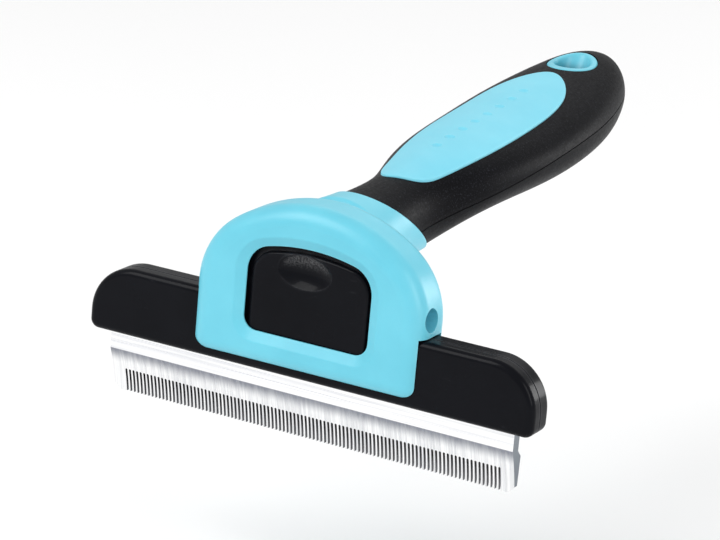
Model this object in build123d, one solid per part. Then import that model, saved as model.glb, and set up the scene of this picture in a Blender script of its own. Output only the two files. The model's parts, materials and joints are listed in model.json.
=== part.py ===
from build123d import *
import math
import os

# Deshedding rake: a D-shaped head frame on a moulded handle, with a blade
# cartridge that slides down out of the head. All sizes are in millimetres.
#
# Row frame: X runs along the blade, Z = 0 at the tooth tips, +Y runs from the
# head towards the butt of the handle, and Y = 0 is the middle of the length.

# ---- driving dimensions ----
OVERALL_LENGTH = 154.6          # front of the head frame to the butt
HEAD_FRONT = 6.0                # head frame's front face, ahead of its mid-plane
HEAD_REAR = 7.8                 # head frame's rear face, behind its mid-plane
HEAD_Y = HEAD_FRONT - OVERALL_LENGTH / 2
FIT_GAP = 0.25                  # sliding clearance between cartridge and frame
SEAT_GAP = 0.05                 # clearance of pieces that are fixed together
TOLERANCE = 0.01                # for picking edges by their place

# head frame, seen from the front
RING_HALF_WIDTH = 28.3
RING_BASE = 16.8                # lower edge of the skirt
RING_SHOULDER = 32.5            # where the straight sides turn into the arch
RING_TOP = 54.1
ARCH_FULLNESS = 0.85            # radius of an arch's corners as a share of its rise
RING_EDGE = 4.4                 # rounding of the ring's outer edges
SKIRT_CORNER = 3.0
WINDOW_HALF_WIDTH = 15.4
WINDOW_BASE = 23.9
WINDOW_SHOULDER = 37.4
WINDOW_TOP = 44.8
WINDOW_CORNER = 3.2
WINDOW_LIP = 2.3                # width of the sloping lip round the window
WINDOW_LIP_DEPTH = 1.2
WINDOW_LIP_EDGE = 0.8           # rounding of the lip's outer edge

# side holes, which reach the catches
HOLE_RADIUS = 2.7
HOLE_HEIGHT = 34.3
HOLE_SETBACK = -0.6             # hole axis, measured from the head's mid-plane

# blade cartridge
BAR_HALF_LENGTH = 55.3
BAR_BASE = 14.7
BAR_TOP = 30.3
BAR_HALF_DEPTH = 4.2
BAR_TOP_CORNER = 11.0
BAR_BASE_CORNER = 2.2
BAR_EDGE = 1.6
PARTING = -0.6                  # plane between the front and rear shells
PARTING_GROOVE = 0.4
TONGUE_HALF_WIDTH = 19.8
TONGUE_SHOULDER = 38.5
TONGUE_TOP = 47.4
TONGUE_FRONT = -3.0
PAD_FRONT = -4.2
PAD_HALF_WIDTH = 14.5
PAD_BASE = 22.8
PAD_SHOULDER = 36.9
PAD_TOP = 43.3
PAD_EDGE = 0.8
PAD_RECESS_HALF_WIDTH = 17.5    # sunk margin round the pad
SCOOP_OFFSET = -1.5             # the dish sits a little to one side
SCOOP_HALF_WIDTH = 6.7
SCOOP_HALF_HEIGHT = 4.0
SCOOP_HEIGHT = 39.4
SCOOP_DEPTH = 1.5

# comb blade
BLADE_HALF_LENGTH = 50.5
STRIP_FRONT = -1.8
STRIP_REAR = 1.0
STRIP_TOP = 23.4
FRONT_RIDGE = 10.5
REAR_RIDGE = 8.4
REAR_SLOPE = 1.5                # height of the slope behind the rear ridge
FRONT_HOLLOW = (0.35, 4.4)      # middle of the ground hollow, as distance and height
REAR_BELLY = (2.5, 4.0)
RIDGE_REAR = 2.6
TIP_FRONT = 1.4
TIP_REAR = 2.3
SLOT_COUNT = 100
SLOT_PITCH = 0.95
SLOT_WIDTH = 0.54
SLOT_TOP = 5.7
BLADE_CORNER = 1.6

# fasteners and pins
SCREW_RADIUS = 1.1
SCREW_HEAD_RADIUS = 2.1
SCREW_HEAD_HEIGHT = 1.3
SCREW_DRIVE_RADIUS = 0.9
SCREW_DRIVE_DEPTH = 0.8
CARRIER_SCREW_LENGTH = 6.2
CARRIER_SCREW_SINK = 0.4        # screw heads below the bar's rear face
CARRIER_SCREWS = [
    (-47.0, 26.4), (-33.0, 26.4), (33.0, 26.4), (47.0, 26.4),
    (-8.0, 30.0), (8.0, 30.0),
]
BLADE_PIN_RADIUS = 1.25
BLADE_PIN_HALF_LENGTH = 2.9
BLADE_PINS = [-36.0, 0.0, 36.0]
BLADE_PIN_HEIGHT = 19.4

# catches in the flanks of the tongue
CATCH_RADIUS = 1.5
CATCH_TIP = 20.9
CATCH_SHOULDER = 15.2
CATCH_COLLAR_RADIUS = 1.8
CATCH_COLLAR_REAR = 13.6
CHAMBER_RADIUS = 1.95
CHAMBER_REAR = 9.6
MOUTH_REAR = 15.25
SPRING_COIL_RADIUS = 1.15
SPRING_WIRE = 0.3
SPRING_TURNS = 5
GROOVE_DEPTH_X = 21.4

# handle: distance behind the head's mid-plane, half width, half height, height of centre
HANDLE_SECTIONS = [
    (6.0, 11.4, 10.3, 43.4),
    (14.0, 10.2, 10.0, 43.6),
    (23.0, 9.3, 9.8, 44.1),
    (33.0, 9.2, 9.7, 45.0),
    (43.0, 11.0, 9.4, 46.6),
    (54.0, 13.7, 9.0, 48.5),
    (68.0, 15.9, 9.1, 50.0),
    (84.0, 17.1, 9.7, 51.0),
    (100.0, 17.3, 10.3, 52.4),
    (114.0, 16.2, 10.6, 53.9),
    (126.0, 13.8, 10.8, 55.3),
    (133.0, 11.8, 10.4, 56.2),
    (138.5, 9.7, 9.4, 56.8),
    (143.0, 7.1, 7.7, 57.2),
    (146.0, 4.7, 5.4, 57.3),
    (147.8, 2.3, 2.7, 57.3),
]
HANDLE_END = OVERALL_LENGTH - HEAD_FRONT
HANDLE_TIP_RADIUS = 0.6
SEAM_POINTS = [
    (0.0, 41.0), (30.0, 43.5), (54.0, 47.6), (84.0, 52.0),
    (112.0, 55.2), (136.0, 57.2), (165.0, 57.9),
]
SEAM_WIDTH = 0.24
SEAM_DEPTH = 0.35
WALL = 2.6
CHAMBER_SPAN = (54.0, 114.0)    # the hollow inside the grip
COLLAR_SPAN = (6.0, 54.0)
COLLAR_PROUD = 0.6
COLLAR_LEAD = 1.5               # rounding of the collar where it leaves the ring
COLLAR_BLEND = 1.2              # fillet in the valley between ring and collar
COLLAR_END = 0.45               # rounding of the collar's slanted end
COLLAR_TOP = (13.0, 54.2)       # the collar's end slants from this point on top
COLLAR_UNDER = (40.0, 36.6)     # to this point underneath

# core, a beam from the head's socket to the butt
CORE_SECTIONS = [(9.5, 43.5), (24.0, 44.2), (36.0, 45.4), (50.0, 47.8), (72.0, 50.3), (110.0, 52.9)]
CORE_WIDTH = 10.4
CORE_HEIGHT = 10.8
GRIP_SCREWS = [64.0, 102.0]
POST_RADIUS = 3.6
GRIP_SCREW_SEAT = 3.2
GRIP_SCREW_CORE_DEPTH = 1.6     # length of the grip screw above the core
COLLAR_SCREW = 15.0
COLLAR_SCREW_SEAT = 3.4
COLLAR_SCREW_BITE = 2.0         # how far its tip passes the core's bottom half

# thumb pad and hanging eyelet on the handle
THUMB_PAD_DEPTH = 1.8
THUMB_PAD_OUTLINE = [
    (30.0, 0.0), (33.5, 4.4), (42.0, 7.2), (60.0, 9.9),
    (84.0, 10.6), (99.0, 9.6), (109.0, 6.0), (114.0, 0.0),
]
THUMB_PAD_GAP = 0.12
THUMB_PAD_PROUD = 0.4
THUMB_PAD_EDGE = 0.3
DIMPLE_RADIUS = 2.2
DIMPLE_SINK = 0.45
DIMPLE_PITCH = 6.5
DIMPLE_COUNT = 8
DIMPLE_START = 52.0
EYELET_DISTANCE = 125.6
EYELET_HALF_WIDTH = 6.0
EYELET_HALF_LENGTH = 8.2
EYELET_BORE = 3.6
EYELET_RIM = 1.3
EYELET_LIP = 0.9                # rounding of the mouths' edges
EYELET_MOUTH_DEPTH = 4.0
EYELET_MIDDLE = 55.3            # height of the handle's centre at the eyelet

FAR = 100.0                     # past every piece


def head_plane(distance):
    """Plane parallel to the head's face, a distance behind its mid-plane; its Y is up."""
    return Plane(origin=(0, HEAD_Y + distance, 0), x_dir=(1, 0, 0), z_dir=(0, -1, 0))


def slab(outline, front, rear):
    """Thick plate of a front-view outline, from one distance to another."""
    return extrude(head_plane(front) * outline, amount=front - rear)


def block(x_low, x_high, front, rear, z_low, z_high):
    """Box between two corners, with its depth measured from the head's mid-plane."""
    size = (x_high - x_low, rear - front, z_high - z_low)
    centre = ((x_low + x_high) / 2, HEAD_Y + (front + rear) / 2, (z_low + z_high) / 2)
    return Pos(*centre) * Box(*size)


def rod(radius, start, end):
    """Round bar between two points given as (x, distance, z)."""
    along = Vector(end) - Vector(start)
    origin = Vector(start) + Vector(0, HEAD_Y, 0)
    upright = Cylinder(radius, along.length, align=(Align.CENTER, Align.CENTER, Align.MIN))
    return Plane(origin=origin, z_dir=along) * upright


def arch_outline(half_width, base, shoulder, top):
    """D outline: flat base, straight sides and an arch of three tangent arcs."""
    rise = top - shoulder
    corner = ARCH_FULLNESS * rise
    crown = ((half_width - corner) ** 2 + rise ** 2 - corner ** 2) / (2 * (rise - corner))
    angle = math.atan2(crown - rise, half_width - corner)
    meet_x = crown * math.cos(angle)
    meet_z = top - crown + crown * math.sin(angle)
    middle_x = half_width - corner + corner * math.cos(angle / 2)
    middle_z = shoulder + corner * math.sin(angle / 2)
    arch = ThreePointArc((half_width, shoulder), (middle_x, middle_z), (meet_x, meet_z))
    arch += ThreePointArc((meet_x, meet_z), (0, top), (-meet_x, meet_z))
    arch += ThreePointArc((-meet_x, meet_z), (-middle_x, middle_z), (-half_width, shoulder))
    sides = Polyline((half_width, shoulder), (half_width, base),
                     (-half_width, base), (-half_width, shoulder))
    return make_face(arch + sides)


def rounded_base(outline, radius):
    """Round the two lower corners of a front-view outline."""
    corners = outline.vertices().sort_by(Axis.Y)[:2]
    return fillet(corners, radius)


def edges_near(shape, distance):
    """Edges that lie in the plane a distance behind the head's mid-plane."""
    level = HEAD_Y + distance
    return shape.edges().filter_by(lambda edge: edge.bounding_box().min.Y > level - TOLERANCE
                                   and edge.bounding_box().max.Y < level + TOLERANCE)


def section(distance, half_width, half_height, height):
    """Oval cross-section of the handle."""
    return head_plane(distance) * Pos(0, height) * Ellipse(half_width, half_height)


def oval_loft(stations):
    return loft([section(*station) for station in stations])


# ---- shapes shared by several pieces ----
def handle_form():
    """The whole outer form of the handle, from inside the collar to the butt."""
    tip = (HANDLE_END, HANDLE_TIP_RADIUS, HANDLE_TIP_RADIUS, HANDLE_SECTIONS[-1][3])
    return oval_loft(HANDLE_SECTIONS + [tip])


def handle_stretch(start, end, grow):
    """Part of the handle's form between two of its sections, grown or shrunk."""
    return oval_loft([(d, a + grow, b + grow, z) for d, a, b, z in HANDLE_SECTIONS if start <= d <= end])


def collar_side():
    """Everything on the head's side of the slanted end of the collar."""
    (top_d, top_z), (low_d, low_z) = COLLAR_TOP, COLLAR_UNDER
    slope = (low_d - top_d) / (low_z - top_z)
    high = (top_d + slope * (FAR - top_z), FAR)
    low = (top_d + slope * (0 - top_z), 0)
    side = Plane(origin=(-FAR, HEAD_Y, 0), x_dir=(0, 1, 0), z_dir=(1, 0, 0))
    region = make_face(Polyline((-FAR, 0), low, high, (-FAR, FAR), close=True))
    return extrude(side * region, amount=2 * FAR)


def above_seam():
    """Everything above the line where the two grip shells meet."""
    side = Plane(origin=(-FAR, HEAD_Y, 0), x_dir=(0, 1, 0), z_dir=(1, 0, 0))
    seam = Spline(*SEAM_POINTS)
    start, end = SEAM_POINTS[0], SEAM_POINTS[-1]
    frame = Polyline(end, (end[0], FAR), (start[0], FAR), start)
    return extrude(side * make_face(seam + frame), amount=2 * FAR)


def core_form(grow=0.0):
    width, height = CORE_WIDTH + 2 * grow, CORE_HEIGHT + 2 * grow
    faces = [head_plane(d) * Pos(0, z) * Rectangle(width, height) for d, z in CORE_SECTIONS]
    return loft(faces, ruled=True)


def seam_groove(form):
    """Fine groove round the handle along the line where its shells meet."""
    inner = handle_stretch(0, HANDLE_END, -SEAM_DEPTH)
    upper = above_seam()
    band = Pos(0, 0, -SEAM_WIDTH / 2) * upper - Pos(0, 0, SEAM_WIDTH / 2) * upper
    return (band & form) - inner


def thumb_pad_prism(inset=0.0):
    """Teardrop column that cuts the thumb pad out of the handle's top."""
    (front, _), *flank, (rear, _) = THUMB_PAD_OUTLINE
    right = [(x - inset, HEAD_Y + d) for d, x in flank]
    left = [(-x, y) for x, y in reversed(right)]
    tips = [(0, HEAD_Y + front + inset), (0, HEAD_Y + rear - inset)]
    outline = make_face(Spline(tips[0], *right, tips[1], *left, periodic=True))
    return Pos(0, 0, SEAM_POINTS[0][1]) * extrude(outline, amount=FAR)


def eyelet_prism(grow=0.0):
    outline = Pos(0, HEAD_Y + EYELET_DISTANCE) * Ellipse(EYELET_HALF_WIDTH + grow, EYELET_HALF_LENGTH + grow)
    return extrude(outline, amount=FAR)


def core_height_at(distance):
    """Height of the core's centre line at a distance."""
    for (d0, z0), (d1, z1) in zip(CORE_SECTIONS, CORE_SECTIONS[1:]):
        if d0 <= distance <= d1:
            return z0 + (z1 - z0) * (distance - d0) / (d1 - d0)
    raise ValueError(distance)


# ---- the handle's body ----
def head_frame():
    """Ring, skirts and collar, moulded in one piece."""
    ring = slab(arch_outline(RING_HALF_WIDTH, 0, RING_SHOULDER, RING_TOP), -HEAD_FRONT, HEAD_REAR)
    ring = fillet(edges_near(ring, -HEAD_FRONT).sort_by(Axis.Z)[1:], RING_EDGE)
    ring = fillet(edges_near(ring, HEAD_REAR).sort_by(Axis.Z)[1:], RING_EDGE)
    ring -= block(-FAR, FAR, -FAR, FAR, -FAR, RING_BASE)
    corners = ring.edges().filter_by(Axis.Y).filter_by(lambda edge: edge.center().Z < RING_BASE + TOLERANCE)
    ring = fillet(corners, SKIRT_CORNER)
    collar = handle_stretch(*COLLAR_SPAN, COLLAR_PROUD) & collar_side()
    collar = fillet(collar.faces().sort_by(Axis.Y)[0].edges(), COLLAR_LEAD)
    collar = fillet(collar.faces().sort_by(Axis.Y)[-1].edges(), COLLAR_END)
    frame = ring + collar
    frame = fillet(collar_valley(frame), COLLAR_BLEND)
    inner = BAR_HALF_DEPTH + FIT_GAP
    frame -= block(-FAR, FAR, -inner, inner, 0, BAR_TOP + FIT_GAP)
    pocket = arch_outline(TONGUE_HALF_WIDTH + FIT_GAP, BAR_BASE, TONGUE_SHOULDER, TONGUE_TOP + FIT_GAP)
    frame -= slab(pocket, -inner, inner)
    frame -= slab(window_outline(), -FAR, -inner + SEAT_GAP)
    mouth = head_plane(-HEAD_FRONT) * window_outline(WINDOW_LIP)
    throat = head_plane(-HEAD_FRONT + WINDOW_LIP_DEPTH) * window_outline()
    frame -= loft([mouth, throat])
    frame = fillet(window_rim(frame), WINDOW_LIP_EDGE)
    for side in (-1, 1):
        hole = (side * TONGUE_HALF_WIDTH, HOLE_SETBACK, HOLE_HEIGHT)
        frame -= rod(HOLE_RADIUS, hole, (side * FAR, HOLE_SETBACK, HOLE_HEIGHT))
        frame -= rod(CHAMBER_RADIUS, (side * TONGUE_HALF_WIDTH, PARTING, HOLE_HEIGHT),
                     (side * GROOVE_DEPTH_X, PARTING, HOLE_HEIGHT))
        x_range = sorted((side * TONGUE_HALF_WIDTH, side * GROOVE_DEPTH_X))
        frame -= block(*x_range, PARTING - CHAMBER_RADIUS, PARTING + CHAMBER_RADIUS, BAR_TOP, HOLE_HEIGHT)
    frame -= core_form(SEAT_GAP)
    frame -= collar_screw(SEAT_GAP)
    return frame


def collar_valley(frame):
    """The edges where the collar rises out of the back of the ring."""
    curved = frame.edges().filter_by(GeomType.BSPLINE)
    behind = curved.filter_by(lambda edge: edge.bounding_box().max.Y < HEAD_Y + HEAD_REAR + TOLERANCE)
    return behind.filter_by(lambda edge: edge.bounding_box().max.Z < RING_TOP - TOLERANCE)


def window_outline(grow=0.0):
    """Front view of the window, or of the lip round it."""
    outline = arch_outline(WINDOW_HALF_WIDTH + grow, WINDOW_BASE - grow, WINDOW_SHOULDER, WINDOW_TOP + grow)
    return rounded_base(outline, WINDOW_CORNER + grow)


def window_rim(frame):
    """The outer edges of the window's lip."""
    reach = WINDOW_HALF_WIDTH + 2 * WINDOW_LIP
    near = edges_near(frame, -HEAD_FRONT).filter_by(lambda edge: edge.bounding_box().size.X < 2 * reach)
    return near.filter_by(lambda edge: abs(edge.center().X) < reach
                          and WINDOW_BASE - 2 * WINDOW_LIP < edge.center().Z < WINDOW_TOP + 2 * WINDOW_LIP)


def screw(head, direction, length, grow=0.0):
    """Pan-head screw: head is the centre of the head's outer face."""
    start = Vector(head)
    along = Vector(direction).normalized()
    seat = start + along * SCREW_HEAD_HEIGHT
    tip = seat + along * length
    body = rod(SCREW_HEAD_RADIUS + grow, start, seat)
    body += rod(SCREW_RADIUS + grow, start, tip)
    if grow == 0:
        socket = start + along * SCREW_DRIVE_DEPTH
        body -= rod(SCREW_DRIVE_RADIUS, start, socket)
    return body


def collar_screw(grow=0.0):
    """The screw under the collar that holds the core in its socket."""
    core_z = core_height_at(COLLAR_SCREW)
    head = (0, COLLAR_SCREW, core_z - CORE_HEIGHT / 2 - COLLAR_SCREW_SEAT)
    return screw(head, (0, 0, 1), CORE_HEIGHT / 2 + COLLAR_SCREW_BITE, grow)


def grip_screw(distance, grow=0.0):
    """A screw from below, through the lower shell and the core into the upper shell."""
    core_z = core_height_at(distance)
    head_z = core_z - CORE_HEIGHT / 2 - GRIP_SCREW_SEAT
    length = GRIP_SCREW_SEAT - SCREW_HEAD_HEIGHT + CORE_HEIGHT + GRIP_SCREW_CORE_DEPTH
    return screw((0, distance, head_z), (0, 0, 1), length, grow)


def grip_cuts():
    """Everything that both grip shells make room for."""
    chamber = handle_stretch(*CHAMBER_SPAN, -WALL)
    for distance in GRIP_SCREWS:
        chamber -= rod(POST_RADIUS, (0, distance, 0), (0, distance, FAR))
    cuts = chamber + core_form(SEAT_GAP) + eyelet_prism(SEAT_GAP) + collar_side()
    for distance in GRIP_SCREWS:
        cuts += grip_screw(distance, SEAT_GAP)
        head_z = core_height_at(distance) - CORE_HEIGHT / 2 - GRIP_SCREW_SEAT
        cuts += rod(SCREW_HEAD_RADIUS + SEAT_GAP, (0, distance, 0), (0, distance, head_z + SCREW_DRIVE_DEPTH))
    return cuts


def thumb_pad_blank(outer, form, depth, inset=0.0):
    """Teardrop between an outer form and a floor sunk below the handle's form."""
    return (outer & thumb_pad_prism(inset)) - Pos(0, 0, -depth) * form


def handle_top_at(distance):
    """Height of the handle's crest at a distance."""
    for (d0, _, b0, z0), (d1, _, b1, z1) in zip(HANDLE_SECTIONS, HANDLE_SECTIONS[1:]):
        if d0 <= distance <= d1:
            share = (distance - d0) / (d1 - d0)
            return z0 + b0 + (z1 + b1 - z0 - b0) * share
    raise ValueError(distance)


def thumb_pad(form):
    """Soft inlay a little proud of the grip, with a row of grip dimples."""
    outer = handle_stretch(0, HANDLE_END, THUMB_PAD_PROUD)
    pad = thumb_pad_blank(outer, form, THUMB_PAD_DEPTH - SEAT_GAP, THUMB_PAD_GAP)
    pad = fillet(pad.faces().sort_by(Axis.Z)[-1].edges(), THUMB_PAD_EDGE)
    for index in range(DIMPLE_COUNT):
        distance = DIMPLE_START + index * DIMPLE_PITCH
        height = handle_top_at(distance) + THUMB_PAD_PROUD + DIMPLE_RADIUS - DIMPLE_SINK
        pad -= Pos(0, HEAD_Y + distance, height) * Sphere(DIMPLE_RADIUS)
    return pad


def hanging_eyelet(form):
    """Liner right through the handle, with an oval funnel at each end."""
    liner = form & eyelet_prism()
    place = Pos(0, HEAD_Y + EYELET_DISTANCE, 0)
    liner -= place * extrude(Circle(EYELET_BORE), amount=FAR)
    top = handle_top_at(EYELET_DISTANCE)
    bottom = 2 * EYELET_MIDDLE - top
    mouth = Ellipse(EYELET_HALF_WIDTH - EYELET_RIM, EYELET_HALF_LENGTH - EYELET_RIM)
    throat = Circle(EYELET_BORE)
    liner -= place * loft([Pos(0, 0, top - EYELET_MOUTH_DEPTH) * throat, Pos(0, 0, top + EYELET_RIM) * mouth])
    lower_throat = Pos(0, 0, bottom + EYELET_MOUTH_DEPTH) * throat
    liner -= place * loft([Pos(0, 0, bottom - EYELET_RIM) * mouth, lower_throat])
    return fillet(mouth_edges(liner), EYELET_LIP)


def mouth_edges(liner):
    """Inner edges of the eyelet where its funnels meet the handle's surface."""
    half_height = EYELET_MOUTH_DEPTH + 2 * EYELET_LIP
    outside = liner.edges().filter_by(lambda edge: abs(edge.center().Z - EYELET_MIDDLE) > half_height)
    return outside.filter_by(lambda edge: edge.bounding_box().size.X < 2 * EYELET_HALF_WIDTH - EYELET_RIM)


def handle_core():
    core = core_form()
    core -= collar_screw(SEAT_GAP)
    for distance in GRIP_SCREWS:
        core -= grip_screw(distance, SEAT_GAP)
    return core


# ---- the blade cartridge ----
def bar_outline():
    outline = Pos(0, (BAR_BASE + BAR_TOP) / 2) * Rectangle(2 * BAR_HALF_LENGTH, BAR_TOP - BAR_BASE)
    corners = outline.vertices().sort_by(Axis.Y)
    outline = fillet(corners[2:], BAR_TOP_CORNER)
    corners = outline.vertices().group_by(Axis.Y)[0]
    return fillet(corners, BAR_BASE_CORNER)


def carrier_cuts():
    """Rooms for the blade, its pins, the screws and the catches."""
    cuts = block(-BLADE_HALF_LENGTH - SEAT_GAP, BLADE_HALF_LENGTH + SEAT_GAP, STRIP_FRONT - SEAT_GAP,
                 STRIP_REAR + SEAT_GAP, 0, STRIP_TOP + SEAT_GAP)
    for x in BLADE_PINS:
        cuts += blade_pin(x, SEAT_GAP)
    for x, z in CARRIER_SCREWS:
        cuts += carrier_screw(x, z, SEAT_GAP)
        seat = BAR_HALF_DEPTH - CARRIER_SCREW_SINK - SEAT_GAP
        cuts += rod(SCREW_HEAD_RADIUS + SEAT_GAP, (x, seat, z), (x, FAR, z))
    for side in (-1, 1):
        cuts += rod(CHAMBER_RADIUS, (side * CHAMBER_REAR, PARTING, HOLE_HEIGHT),
                    (side * MOUTH_REAR, PARTING, HOLE_HEIGHT))
        cuts += rod(CATCH_RADIUS + SEAT_GAP, (side * CHAMBER_REAR, PARTING, HOLE_HEIGHT),
                    (side * FAR, PARTING, HOLE_HEIGHT))
    return cuts


def carrier_blank():
    """Bar and tongue together, before they are parted into two shells."""
    bar = slab(bar_outline(), -BAR_HALF_DEPTH, BAR_HALF_DEPTH)
    bar = fillet(edges_near(bar, -BAR_HALF_DEPTH) + edges_near(bar, BAR_HALF_DEPTH), BAR_EDGE)
    middle = (BAR_BASE + BAR_TOP) / 2
    tongue = slab(arch_outline(TONGUE_HALF_WIDTH, middle, TONGUE_SHOULDER, TONGUE_TOP),
                  TONGUE_FRONT, BAR_HALF_DEPTH - BAR_EDGE)
    bar -= block(-PAD_RECESS_HALF_WIDTH, PAD_RECESS_HALF_WIDTH, -FAR, TONGUE_FRONT, PAD_BASE, FAR)
    pad = slab(arch_outline(PAD_HALF_WIDTH, PAD_BASE, PAD_SHOULDER, PAD_TOP), PAD_FRONT, 0)
    pad = fillet(edges_near(pad, PAD_FRONT).sort_by(Axis.Z)[1:], PAD_EDGE)
    blank = bar + tongue + pad
    return blank - thumb_scoop()


def thumb_scoop():
    """Shallow oval dish near the top of the cartridge's pad."""
    radius = (SCOOP_HALF_HEIGHT ** 2 + SCOOP_DEPTH ** 2) / (2 * SCOOP_DEPTH)
    share = math.sqrt(1 - ((radius - SCOOP_DEPTH) / radius) ** 2)
    reach = SCOOP_HALF_WIDTH / share
    half = Ellipse(reach, radius) & Pos(0, radius / 2) * Rectangle(2 * reach, radius)
    return Pos(SCOOP_OFFSET, HEAD_Y + PAD_FRONT - radius + SCOOP_DEPTH, SCOOP_HEIGHT) * revolve(half, Axis.X)


def parting_groove():
    """Fine groove round the outside of the bar where the shells meet."""
    bar = slab(bar_outline(), PARTING, PARTING + PARTING_GROOVE)
    inner = slab(offset(bar_outline(), -PARTING_GROOVE), PARTING, PARTING + PARTING_GROOVE)
    tongue = block(-TONGUE_HALF_WIDTH, TONGUE_HALF_WIDTH, -FAR, FAR, BAR_TOP - 1, FAR)
    return bar - inner - tongue


def carrier_front_shell(blank, cuts):
    return (blank & block(-FAR, FAR, -FAR, PARTING, 0, FAR)) - cuts


def carrier_rear_shell(blank, cuts):
    return (blank & block(-FAR, FAR, PARTING, FAR, 0, FAR)) - cuts - parting_groove()


def blade_section():
    """Cross-section of the blade: flat strip, two ridges and a hollow-ground taper."""
    hollow = ThreePointArc((STRIP_FRONT, FRONT_RIDGE), FRONT_HOLLOW, (TIP_FRONT, 0))
    back = ThreePointArc((TIP_REAR, 0), REAR_BELLY, (RIDGE_REAR, REAR_RIDGE))
    tip = Line((TIP_FRONT, 0), (TIP_REAR, 0))
    strip = Polyline((RIDGE_REAR, REAR_RIDGE), (STRIP_REAR, REAR_RIDGE + REAR_SLOPE),
                     (STRIP_REAR, STRIP_TOP), (STRIP_FRONT, STRIP_TOP), (STRIP_FRONT, FRONT_RIDGE))
    return make_face(hollow + tip + back + strip)


def comb_blade():
    side = Plane(origin=(-BLADE_HALF_LENGTH, HEAD_Y, 0), x_dir=(0, 1, 0), z_dir=(1, 0, 0))
    blade = extrude(side * blade_section(), amount=2 * BLADE_HALF_LENGTH)
    front = Pos(0, STRIP_TOP / 2) * Rectangle(2 * BLADE_HALF_LENGTH, STRIP_TOP)
    front = chamfer(front.vertices().group_by(Axis.Y)[0], BLADE_CORNER)
    blade &= slab(front, -BAR_HALF_DEPTH, BAR_HALF_DEPTH)
    slot = Pos(0, (SLOT_TOP - SLOT_PITCH) / 2) * SlotOverall(SLOT_TOP + SLOT_PITCH, SLOT_WIDTH, rotation=90)
    first = -(SLOT_COUNT - 1) / 2 * SLOT_PITCH
    slots = [Pos(first + index * SLOT_PITCH, 0, 0) * slab(slot, -BAR_HALF_DEPTH, BAR_HALF_DEPTH)
             for index in range(SLOT_COUNT)]
    blade -= slots
    for x in BLADE_PINS:
        blade -= blade_pin(x, SEAT_GAP)
    return blade


def blade_pin(x, grow=0.0):
    half = BLADE_PIN_HALF_LENGTH + grow
    return rod(BLADE_PIN_RADIUS + grow, (x, -half, BLADE_PIN_HEIGHT), (x, half, BLADE_PIN_HEIGHT))


def carrier_screw(x, z, grow=0.0):
    head = (x, BAR_HALF_DEPTH - CARRIER_SCREW_SINK, z)
    return screw(head, (0, -1, 0), CARRIER_SCREW_LENGTH - SCREW_HEAD_HEIGHT, grow)


# ---- the catches ----
def catch_plunger(side):
    """Round-nosed plunger with a collar that keeps it in the tongue."""
    nose_centre = CATCH_TIP - CATCH_RADIUS
    stem = rod(CATCH_RADIUS, (side * CATCH_COLLAR_REAR, PARTING, HOLE_HEIGHT),
               (side * nose_centre, PARTING, HOLE_HEIGHT))
    nose = Pos(side * nose_centre, HEAD_Y + PARTING, HOLE_HEIGHT) * Sphere(CATCH_RADIUS)
    collar = rod(CATCH_COLLAR_RADIUS, (side * CATCH_COLLAR_REAR, PARTING, HOLE_HEIGHT),
                 (side * CATCH_SHOULDER, PARTING, HOLE_HEIGHT))
    return stem + nose + collar


def catch_spring(side):
    """Coil spring between the end of the chamber and the plunger."""
    length = CATCH_COLLAR_REAR - CHAMBER_REAR - SPRING_WIRE - 2 * SEAT_GAP
    helix = Helix(pitch=length / SPRING_TURNS, height=length, radius=SPRING_COIL_RADIUS)
    wire = Plane(origin=helix @ 0, z_dir=helix % 0) * Circle(SPRING_WIRE / 2)
    coil = sweep(wire, path=helix)
    start = CHAMBER_REAR + SPRING_WIRE / 2 + SEAT_GAP
    place = Plane(origin=(side * start, HEAD_Y + PARTING, HOLE_HEIGHT), z_dir=(side, 0, 0))
    return place * coil


def build_all():
    """Every piece of the tool by its node name."""
    form = handle_form()
    upper_side = above_seam()
    cuts = grip_cuts() + seam_groove(form)
    blank = carrier_blank()
    rooms = carrier_cuts()
    screws = [grip_screw(distance) for distance in GRIP_SCREWS]
    return {
        "head_frame": head_frame(),
        "handle_core": handle_core(),
        "collar_screw": collar_screw(),
        "grip_upper_shell": (form & upper_side) - cuts - thumb_pad_blank(form, form, THUMB_PAD_DEPTH),
        "grip_lower_shell": (form - Pos(0, 0, -SEAT_GAP) * upper_side) - cuts,
        "thumb_pad": thumb_pad(form),
        "hanging_eyelet": hanging_eyelet(form),
        "grip_screws": Compound(screws),
        "carrier_front_shell": carrier_front_shell(blank, rooms),
        "carrier_rear_shell": carrier_rear_shell(blank, rooms),
        "comb_blade": comb_blade(),
        "blade_pins": Compound([blade_pin(x) for x in BLADE_PINS]),
        "carrier_screws": Compound([carrier_screw(x, z) for x, z in CARRIER_SCREWS]),
        "catch_plunger_left": catch_plunger(-1),
        "catch_plunger_right": catch_plunger(1),
        "catch_spring_left": catch_spring(-1),
        "catch_spring_right": catch_spring(1),
    }


os.makedirs("parts", exist_ok=True)
for name, piece in build_all().items():
    export_step(piece, os.path.join("parts", name + ".step"))
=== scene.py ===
import json
import math

import bpy
from mathutils import Matrix, Vector


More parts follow.
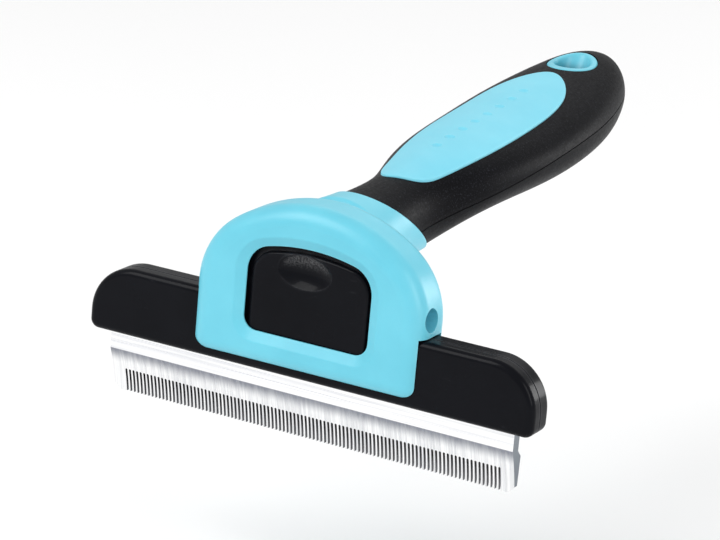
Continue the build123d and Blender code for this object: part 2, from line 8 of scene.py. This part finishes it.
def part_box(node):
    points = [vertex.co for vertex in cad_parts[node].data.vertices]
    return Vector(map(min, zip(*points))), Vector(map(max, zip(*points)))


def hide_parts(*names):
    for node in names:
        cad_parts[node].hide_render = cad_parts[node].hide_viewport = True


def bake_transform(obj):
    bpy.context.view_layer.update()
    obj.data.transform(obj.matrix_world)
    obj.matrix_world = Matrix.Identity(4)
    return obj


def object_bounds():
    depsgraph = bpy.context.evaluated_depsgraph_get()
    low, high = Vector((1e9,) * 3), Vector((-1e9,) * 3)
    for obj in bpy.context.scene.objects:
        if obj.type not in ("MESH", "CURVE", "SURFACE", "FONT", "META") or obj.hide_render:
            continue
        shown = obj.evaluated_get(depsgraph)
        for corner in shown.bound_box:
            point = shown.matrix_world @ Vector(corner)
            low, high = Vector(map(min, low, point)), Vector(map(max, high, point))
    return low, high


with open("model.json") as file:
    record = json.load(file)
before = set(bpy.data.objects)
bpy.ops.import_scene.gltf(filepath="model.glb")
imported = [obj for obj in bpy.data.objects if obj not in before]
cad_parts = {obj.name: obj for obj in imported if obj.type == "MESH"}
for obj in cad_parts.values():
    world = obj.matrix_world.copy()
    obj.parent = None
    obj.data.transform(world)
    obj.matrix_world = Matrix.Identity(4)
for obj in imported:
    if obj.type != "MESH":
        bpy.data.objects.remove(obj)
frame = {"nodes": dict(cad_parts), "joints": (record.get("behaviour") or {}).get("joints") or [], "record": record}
cad_box = [list(corner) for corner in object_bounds()]
MM = 0.001

# comb blade: heights above the tooth tips, and how far the slots reach to each side
STRIP_FOOT = 10.5 * MM
SHADE_FOOT = 6.8 * MM
SLOT_HEAD = 5.9 * MM
SLOT_FOOT = 0.3 * MM
SLOTS_REACH = 48.4 * MM

# thumb dish in the cartridge's front, whose upper half gets a painted highlight
DISH_ASIDE = 1.5 * MM
DISH_BELOW_TOP = 8.0 * MM
DISH_HALF_WIDTH = 6.4 * MM
DISH_HALF_HEIGHT = 3.7 * MM

# shading down the hanging eyelet's bore
BORE_RADIUS = 3.7 * MM
BORE_BLUR = 1.9 * MM
MOUTH_CLEAR = 0.5 * MM
MOUTH_FADE = 4.5 * MM

# catch springs
SPRING_WIRE_RADIUS = 0.15 * MM

# stage and camera
FLOOR_REACH = 6.0
FLOOR_CLEARANCE = 8 * MM
FOCAL_LENGTH = 154.85
HEAD_MIDDLE = 6.0 * MM
CAMERA_FROM_HEAD = Vector((0.2964, -0.5698, 0.2320))
CAMERA_RIGHT = Vector((0.8777, 0.4711, 0.0877))
CAMERA_BACK = Vector((0.4308, -0.8559, 0.2862))
SKY_STRENGTH = 0.66


# ---- node helpers ----
class Nodes:
    """Builds one procedural material from short calls."""

    def __init__(self, name):
        self.material = bpy.data.materials.new(name)
        self.material.use_nodes = True
        self.tree = self.material.node_tree
        self.tree.nodes.clear()
        surface = self.add("ShaderNodeOutputMaterial").inputs["Surface"]
        self.shader = self.add("ShaderNodeBsdfPrincipled")
        self.link(self.shader.outputs["BSDF"], surface)
        self.place = self.add("ShaderNodeTexCoord").outputs["Object"]

    def add(self, kind, **settings):
        node = self.tree.nodes.new(kind)
        for key, value in settings.items():
            setattr(node, key, value)
        return node

    def link(self, source, target):
        self.tree.links.new(source, target)

    def feed(self, target, value):
        """Links a socket, or sets a constant."""
        if isinstance(value, bpy.types.NodeSocket):
            self.link(value, target)
        else:
            target.default_value = value

    def stretched(self, scale):
        node = self.add("ShaderNodeMapping")
        self.link(self.place, node.inputs["Vector"])
        node.inputs["Scale"].default_value = scale
        return node.outputs["Vector"]

    def noise(self, scale, detail=3.0, rough=0.5, stretch=None):
        node = self.add("ShaderNodeTexNoise")
        self.link(self.stretched(stretch) if stretch else self.place, node.inputs["Vector"])
        node.inputs["Scale"].default_value = scale
        node.inputs["Detail"].default_value = detail
        node.inputs["Roughness"].default_value = rough
        return node.outputs["Fac"]

    def cells(self, scale):
        """Rounded cells, for a pebbled grain."""
        node = self.add("ShaderNodeTexVoronoi", feature="SMOOTH_F1")
        self.link(self.place, node.inputs["Vector"])
        node.inputs["Scale"].default_value = scale
        return node.outputs["Distance"]

    def span(self, value, low, high, to_low=0.0, to_high=1.0):
        """Maps low..high onto to_low..to_high, clamped. smooth() does the same with eased ends."""
        node = self.add("ShaderNodeMapRange", clamp=True)
        self.feed(node.inputs["Value"], value)
        for key, number in zip(("From Min", "From Max", "To Min", "To Max"), (low, high, to_low, to_high)):
            node.inputs[key].default_value = number
        return node.outputs["Result"]

    def smooth(self, value, low, high, to_low=0.0, to_high=1.0):
        socket = self.span(value, low, high, to_low, to_high)
        socket.node.interpolation_type = "SMOOTHSTEP"
        return socket

    def math(self, operation, a, b=0.0):
        node = self.add("ShaderNodeMath", operation=operation)
        self.feed(node.inputs[0], a)
        self.feed(node.inputs[1], b)
        return node.outputs[0]

    def length(self, a, b):
        """Length of the plane vector (a, b)."""
        squares = self.math("ADD", self.math("POWER", a, 2.0), self.math("POWER", b, 2.0))
        return self.math("SQRT", squares)

    def mix(self, share, a, b):
        node = self.add("ShaderNodeMix", data_type="RGBA")
        self.feed(node.inputs["Factor"], share)
        self.feed(node.inputs["A"], a)
        self.feed(node.inputs["B"], b)
        return node.outputs["Result"]

    def axis(self, letter, source=None):
        node = self.add("ShaderNodeSeparateXYZ")
        self.link(source or self.place, node.inputs[0])
        return node.outputs[letter]

    def facing(self, letter):
        """How squarely a face looks along an axis, either way: 0 to 1."""
        true = self.add("ShaderNodeNewGeometry").outputs["True Normal"]
        return self.math("ABSOLUTE", self.axis(letter, true))

    def bump(self, height, distance, strength=1.0, below=None):
        node = self.add("ShaderNodeBump")
        node.inputs["Strength"].default_value = strength
        node.inputs["Distance"].default_value = distance
        self.link(height, node.inputs["Height"])
        if below is not None:
            self.link(below, node.inputs["Normal"])
        return node.outputs["Normal"]

    def edge_mask(self, width=0.6 * MM):
        """About 1 along outer edges, from the difference between the rounded and the true normal."""
        bevel = self.add("ShaderNodeBevel", samples=4)
        bevel.inputs["Radius"].default_value = width
        true = self.add("ShaderNodeNewGeometry").outputs["Normal"]
        dot = self.add("ShaderNodeVectorMath", operation="DOT_PRODUCT")
        self.link(bevel.outputs["Normal"], dot.inputs[0])
        self.link(true, dot.inputs[1])
        return self.span(dot.outputs["Value"], 1.0, 0.75)

    def set(self, **values):
        for key, value in values.items():
            self.feed(self.shader.inputs[key.replace("_", " ")], value)


def colour(r, g, b):
    """An opaque linear colour."""
    return (r, g, b, 1.0)


# ---- materials ----
def painted_bore_shade(n):
    """About 1 inside the hanging eyelet's bore, fading out towards its mouths: where painted shade darkens the
    bore.
    """
    low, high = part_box("hanging_eyelet")
    middle = (low + high) / 2
    half_height = (high.z - low.z) / 2
    off_axis = n.length(n.axis("X"), n.math("SUBTRACT", n.axis("Y"), middle.y))
    near_axis = n.smooth(off_axis, BORE_RADIUS + BORE_BLUR, BORE_RADIUS)
    depth = n.math("ABSOLUTE", n.math("SUBTRACT", n.axis("Z"), middle.z))
    inside = n.smooth(depth, half_height - MOUTH_CLEAR, half_height - MOUTH_FADE)
    return n.math("MULTIPLY", near_axis, inside)


def lit_dish_half(n):
    """About 1 in the upper half of the thumb dish on the cartridge's front, 0 elsewhere: where the dish gets a
    painted highlight.
    """
    low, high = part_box("carrier_front_shell")
    x = n.math("DIVIDE", n.math("ADD", n.axis("X"), DISH_ASIDE), DISH_HALF_WIDTH)
    z = n.math("DIVIDE", n.math("SUBTRACT", n.axis("Z"), high.z - DISH_BELOW_TOP), DISH_HALF_HEIGHT)
    sunk = n.smooth(n.axis("Y"), low.y + 0.02 * MM, low.y + 0.40 * MM)
    front = n.smooth(n.axis("Y"), low.y + 2.4 * MM, low.y + 2.0 * MM)
    dish = n.math("MULTIPLY", n.smooth(n.length(x, z), 1.02, 0.85), n.math("MULTIPLY", sunk, front))
    return n.math("MULTIPLY", dish, n.smooth(z, -0.1, 0.8))


def coloured_plastic(name, rough, grain):
    """Sky-blue satin moulding with a faint flow mottle, a fine grain and painted shade down the eyelet's bore."""
    n = Nodes(name)
    mottle = n.noise(55.0, 4.0, 0.55)
    base = n.mix(n.span(mottle, 0.3, 0.7), colour(0.128, 0.550, 0.690), colour(0.155, 0.605, 0.745))
    # outer edges lighter in colour
    edge_lightening = n.math("MULTIPLY", n.edge_mask(), n.noise(420.0, 2.0))
    unshaded = n.mix(n.math("MULTIPLY", edge_lightening, 0.35), base, colour(0.34, 0.82, 0.94))
    # painted shade: dark teal down the eyelet's bore, standing in for the shade inside the hole
    tint = n.mix(n.math("MULTIPLY", painted_bore_shade(n), 0.85), unshaded, colour(0.020, 0.180, 0.250))
    smudge = n.noise(140.0, 5.0, 0.6)
    fine = n.noise(grain, 2.0, 0.6)
    n.set(Base_Color=tint, Roughness=n.span(smudge, 0.25, 0.75, rough - 0.05, rough + 0.06))
    n.set(IOR=1.5, Subsurface_Weight=0.12, Subsurface_Scale=0.0015)
    n.shader.inputs["Subsurface Radius"].default_value = (0.35, 0.9, 1.0)
    n.link(n.bump(fine, 0.00002, 0.5), n.shader.inputs["Normal"])
    return n.material


def black_plastic(name, rough):
    """Satin black moulding: slight orange peel, dust-fine grain, scuffs, and painted highlights: grey along the
    rounded edges and in the thumb dish's upper half.
    """
    n = Nodes(name)
    mottle = n.noise(70.0, 4.0)
    base = n.mix(n.span(mottle, 0.3, 0.7), colour(0.0024, 0.0027, 0.0044), colour(0.0044, 0.0048, 0.0072))
    scuff = n.noise(950.0, 4.0, 0.65, (0.25, 1.0, 1.0))
    dusty = n.mix(n.smooth(scuff, 0.62, 0.82, 0.0, 0.18), base, colour(0.050, 0.052, 0.060))
    # painted highlight: rounded edges lightened to grey, standing in for the light they catch
    edge_lightening = n.math("MULTIPLY", n.edge_mask(1.1 * MM), n.noise(260.0, 4.0, 0.6))
    edged = n.mix(n.span(edge_lightening, 0.05, 0.75, 0.0, 0.8), dusty, colour(0.085, 0.087, 0.096))
    # painted highlight: the thumb dish's lit upper half, grey with fine glints
    dish_highlight = n.math("MULTIPLY", lit_dish_half(n), n.span(n.noise(2600.0, 2.0, 0.7), 0.42, 0.62, 0.15, 1.0))
    tint = n.mix(n.math("MULTIPLY", dish_highlight, 0.85), edged, colour(0.120, 0.121, 0.126))
    handled = n.noise(110.0, 6.0, 0.62)
    n.set(Base_Color=tint, Roughness=n.span(handled, 0.25, 0.75, rough - 0.07, rough + 0.10))
    n.set(IOR=1.48, Specular_IOR_Level=0.05, Coat_Weight=0.09, Coat_Roughness=0.12)
    peel = n.bump(n.noise(260.0, 2.0), 0.00004, 0.35)
    n.link(n.bump(n.noise(5200.0, 1.0), 0.00001, 0.5, peel), n.shader.inputs["Normal"])
    return n.material


def soft_grip(name):
    """Black soft-touch rubber with a pebbled grain."""
    n = Nodes(name)
    mottle = n.noise(60.0, 4.0)
    dust = n.noise(2700.0, 2.0, 0.7)
    base = n.mix(n.span(mottle, 0.3, 0.7), colour(0.0012, 0.0013, 0.0022), colour(0.0026, 0.0028, 0.0042))
    speck = n.mix(n.smooth(dust, 0.55, 0.72, 0.0, 0.42), base, colour(0.046, 0.049, 0.062))
    n.set(Base_Color=speck, Roughness=n.span(n.noise(1400.0, 3.0), 0.3, 0.7, 0.38, 0.50), IOR=1.35)
    n.set(Specular_IOR_Level=0.095)
    pebble = n.bump(n.cells(3000.0), 0.00004, 0.55)
    n.link(n.bump(n.noise(4200.0, 2.0), 0.00002, 0.4, pebble), n.shader.inputs["Normal"])
    return n.material


def soft_inlay(name):
    """Sky-blue soft-touch inlay, a little more matt than the hard mouldings."""
    n = Nodes(name)
    mottle = n.noise(48.0, 5.0, 0.55)
    base = n.mix(n.span(mottle, 0.3, 0.7), colour(0.170, 0.615, 0.770), colour(0.205, 0.670, 0.820))
    # outer edges lighter in colour
    edge_lightening = n.math("MULTIPLY", n.edge_mask(0.8 * MM), n.noise(420.0, 2.0))
    tint = n.mix(n.math("MULTIPLY", edge_lightening, 0.6), base, colour(0.45, 0.88, 0.95))
    n.set(Base_Color=tint, Roughness=n.span(n.noise(180.0, 5.0), 0.25, 0.75, 0.50, 0.62), IOR=1.45)
    n.set(Subsurface_Weight=0.15, Subsurface_Scale=0.0015, Sheen_Weight=0.12, Sheen_Roughness=0.5)
    n.shader.inputs["Subsurface Radius"].default_value = (0.35, 0.9, 1.0)
    pebble = n.bump(n.cells(2400.0), 0.00003, 0.35)
    n.link(pebble, n.shader.inputs["Normal"])
    return n.material


def ground_blade(name):
    """Stainless blade: strip brushed along its length, hollow-ground face brushed towards the teeth, with painted
    shade under the ridge and on the slot walls.
    """
    n = Nodes(name)
    z = n.math("SUBTRACT", n.axis("Z"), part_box("comb_blade")[0].z)
    sideways = n.facing("X")
    inboard = n.smooth(n.math("ABSOLUTE", n.axis("X")), SLOTS_REACH + 0.2 * MM, SLOTS_REACH - 0.2 * MM)
    ground = n.smooth(z, STRIP_FOOT + 0.1 * MM, STRIP_FOOT - 0.1 * MM)
    long_fine = n.noise(1500.0, 3.0, 0.6, (0.012, 1.0, 1.0))
    long_wide = n.noise(480.0, 3.0, 0.5, (0.015, 1.0, 1.0))
    tall_fine = n.noise(2300.0, 2.0, 0.6, (1.0, 0.02, 0.02))
    tall_wide = n.noise(1100.0, 3.0, 0.6, (1.0, 0.02, 0.025))
    strip_tone = n.math("ADD", n.math("MULTIPLY", long_fine, 0.6), n.math("MULTIPLY", long_wide, 0.4))
    strip = n.mix(n.span(strip_tone, 0.38, 0.56), colour(0.68, 0.69, 0.73), colour(0.98, 0.98, 0.98))
    # painted shade: the ground face darkest grey just under the ridge, fading to white towards the teeth, standing
    # in for its reflection
    shade = n.smooth(z, STRIP_FOOT, SHADE_FOOT)
    uneven = n.math("ADD", shade, n.span(tall_wide, 0.3, 0.7, -0.12, 0.12))
    face = n.mix(uneven, colour(0.26, 0.27, 0.31), colour(0.97, 0.97, 0.97))
    streak = n.mix(n.span(tall_fine, 0.36, 0.62, 0.34, 0.0), face, colour(0.34, 0.35, 0.39))
    outside = n.mix(ground, strip, streak)
    # painted shade: slot walls near black at the top, dark grey towards the tips
    slot_wall_shade = n.mix(n.smooth(z, SLOT_HEAD, SLOT_FOOT), colour(0.008, 0.008, 0.010), colour(0.09, 0.09, 0.10))
    cheek = n.mix(n.span(tall_wide, 0.3, 0.7), colour(0.15, 0.17, 0.20), colour(0.24, 0.27, 0.30))
    side = n.mix(inboard, cheek, slot_wall_shade)
    n.set(Base_Color=n.mix(n.smooth(sideways, 0.40, 0.70), outside, side), Metallic=0.92)
    n.set(Specular_IOR_Level=0.5, Anisotropic=0.3)
    tone = n.math("MULTIPLY", n.math("SUBTRACT", 1.0, ground), long_fine)
    tone = n.math("ADD", tone, n.math("MULTIPLY", ground, tall_fine))
    n.set(Roughness=n.span(tone, 0.3, 0.7, 0.24, 0.40))
    n.link(n.bump(tone, 0.00001, 0.5), n.shader.inputs["Normal"])
    return n.material


def bright_steel(name):
    """Zinc-plated fastener steel with fine turned marks and dull spots."""
    n = Nodes(name)
    spots = n.noise(700.0, 5.0, 0.65)
    base = n.mix(n.span(spots, 0.35, 0.7), colour(0.60, 0.60, 0.62), colour(0.42, 0.42, 0.43))
    n.set(Base_Color=base, Metallic=1.0, Roughness=n.span(spots, 0.3, 0.7, 0.22, 0.42))
    n.link(n.bump(n.noise(2600.0, 3.0), 0.00001, 0.4), n.shader.inputs["Normal"])
    return n.material


def natural_polymer(name, light, dark, rough):
    """Uncoloured engineering plastic: milky, with faint fibre streaks."""
    n = Nodes(name)
    fibre = n.noise(500.0, 4.0, 0.6, (1.0, 0.08, 1.0))
    n.set(Base_Color=n.mix(n.span(fibre, 0.35, 0.65), light, dark))
    n.set(Roughness=n.span(fibre, 0.3, 0.7, rough, rough + 0.15))
    n.set(IOR=1.5, Subsurface_Weight=0.1, Subsurface_Scale=0.001)
    n.link(n.bump(fibre, 0.00002, 0.4), n.shader.inputs["Normal"])
    return n.material


LOOKS = {
    "coloured_plastic": coloured_plastic("sky_blue_satin", 0.36, 5200.0),
    "soft_inlay": soft_inlay("sky_blue_soft_inlay"),
    "grip_black": soft_grip("black_soft_grip"),
    "carrier_black": black_plastic("black_satin", 0.30),
    "core_nylon": natural_polymer(
        "natural_nylon", colour(0.62, 0.60, 0.53), colour(0.50, 0.48, 0.42), 0.45),
    "blade_steel": ground_blade("ground_stainless"),
    "screw_steel": bright_steel("zinc_steel"),
    "catch_acetal": natural_polymer(
        "natural_acetal", colour(0.80, 0.80, 0.76), colour(0.70, 0.70, 0.66), 0.25),
}

slots = {row["node"]: row["material_slot"] for row in frame["record"]["subparts"]}
for node, slot in slots.items():
    mesh = frame["nodes"][node].data
    mesh.materials.clear()
    mesh.materials.append(LOOKS[slot])


# ---- coil springs ----
def coil_points(reach, radius, wire, turns=5, per_turn=28, around=10):
    """Rings of points along a round wire wound about the X axis."""
    rings = []
    count = turns * per_turn
    climb = reach / (math.pi * turns)
    for step in range(count + 1):
        angle = 2 * math.pi * turns * step / count
        radial = Vector((0.0, math.cos(angle), math.sin(angle)))
        centre = radial * radius + Vector((reach * (2 * step / count - 1), 0.0, 0.0))
        along = Vector((climb, -math.sin(angle) * radius, math.cos(angle) * radius))
        across = along.normalized().cross(radial)
        turns_round = [2 * math.pi * k / around for k in range(around)]
        rings.append([centre + (radial * math.cos(a) + across * math.sin(a)) * wire for a in turns_round])
    return rings


def tube_faces(count, around):
    """Faces of a closed tube through a number of rings, with both ends capped."""
    last = (count - 1) * around
    faces = [tuple(range(around - 1, -1, -1)), tuple(range(last, last + around))]
    for ring in range(count - 1):
        for k in range(around):
            a, b = ring * around + k, ring * around + (k + 1) % around
            faces.append((a, b, b + around, a + around))
    return faces


def coil_spring(side):
    """Spring behind a catch: a round wire coiled through the length of the spring part's box, which replaces that
    part.
    """
    node = "catch_spring_" + side
    low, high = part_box(node)
    middle = (low + high) / 2
    wire = SPRING_WIRE_RADIUS
    rings = coil_points((high.x - low.x) / 2 - wire, (high.z - low.z) / 2 - wire, wire)
    faces = tube_faces(len(rings), len(rings[0]))
    mesh = bpy.data.meshes.new("coil_spring_" + side)
    mesh.from_pydata([point + middle for ring in rings for point in ring], [], faces)
    mesh.polygons.foreach_set("use_smooth", [True] * len(faces))
    mesh.materials.append(LOOKS[slots[node]])
    coil = bpy.data.objects.new("coil_spring_" + side, mesh)
    bpy.context.scene.collection.objects.link(coil)
    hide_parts(node)
    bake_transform(coil)


coil_spring("left")
coil_spring("right")


# ---- stage, camera and light ----
front_y = cad_box[0][1]
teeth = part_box("comb_blade")[0].z
travel = max(joint["range_m"][1] for joint in frame["joints"])


def pale_floor():
    """Floor below the reach of the cartridge's travel."""
    mesh = bpy.data.meshes.new("floor")
    height = teeth - travel - FLOOR_CLEARANCE
    around = ((-1, -1), (1, -1), (1, 1), (-1, 1))
    corners = [(x * FLOOR_REACH, y * FLOOR_REACH, height) for x, y in around]
    mesh.from_pydata(corners, [], [(0, 1, 2, 3)])
    floor = bpy.data.objects.new("floor", mesh)
    bpy.context.scene.collection.objects.link(floor)
    n = Nodes("pale_floor")
    tint = n.mix(n.noise(3.0, 2.0), colour(0.95, 0.95, 0.95), colour(0.975, 0.975, 0.975))
    n.set(Base_Color=tint, Roughness=0.9)
    mesh.materials.append(n.material)


def camera():
    """Long lens a little above the head, in front and to the right."""
    data = bpy.data.cameras.new("camera")
    data.lens = FOCAL_LENGTH
    data.sensor_width = 36.0
    data.clip_end = 50.0
    view = bpy.data.objects.new("camera", data)
    bpy.context.scene.collection.objects.link(view)
    right = CAMERA_RIGHT.normalized()
    back = (CAMERA_BACK - right * CAMERA_BACK.dot(right)).normalized()
    up = back.cross(right)
    turn = Matrix((right, up, back)).transposed().to_4x4()
    head = Vector((0.0, front_y + HEAD_MIDDLE, teeth))
    view.matrix_world = Matrix.Translation(head + CAMERA_FROM_HEAD) @ turn
    bpy.context.scene.camera = view


def area(name, place, aim, size, power):
    """A white rectangular lamp turned towards a point."""
    data = bpy.data.lights.new(name, "AREA")
    data.shape = "RECTANGLE"
    data.size, data.size_y = size
    data.energy = power
    light = bpy.data.objects.new(name, data)
    light.location = place
    light.rotation_mode = "QUATERNION"
    light.rotation_quaternion = (Vector(aim) - Vector(place)).to_track_quat("-Z", "Y")
    bpy.context.scene.collection.objects.link(light)


def studio():
    """A large key from the left, a fill, a back light, a low rim light and a white sky."""
    aim = (0.0, 0.0, 0.045)
    area("key", (-0.55, -0.75, 0.85), aim, (0.7, 0.7), 7.0)
    area("fill", (0.95, -0.35, 0.45), aim, (0.35, 0.7), 3.2)
    area("back", (-0.1, 0.9, 0.8), aim, (1.2, 0.4), 1.6)
    area("rim", (0.62, 1.00, 0.20), aim, (0.25, 0.35), 2.6)
    world = bpy.data.worlds.new("studio")
    bpy.context.scene.world = world
    world.use_nodes = True
    sky = world.node_tree.nodes["Background"]
    sky.inputs["Color"].default_value = colour(1.0, 1.0, 1.0)
    sky.inputs["Strength"].default_value = SKY_STRENGTH
    bpy.context.scene.view_settings.view_transform = "Standard"


pale_floor()
camera()
studio()
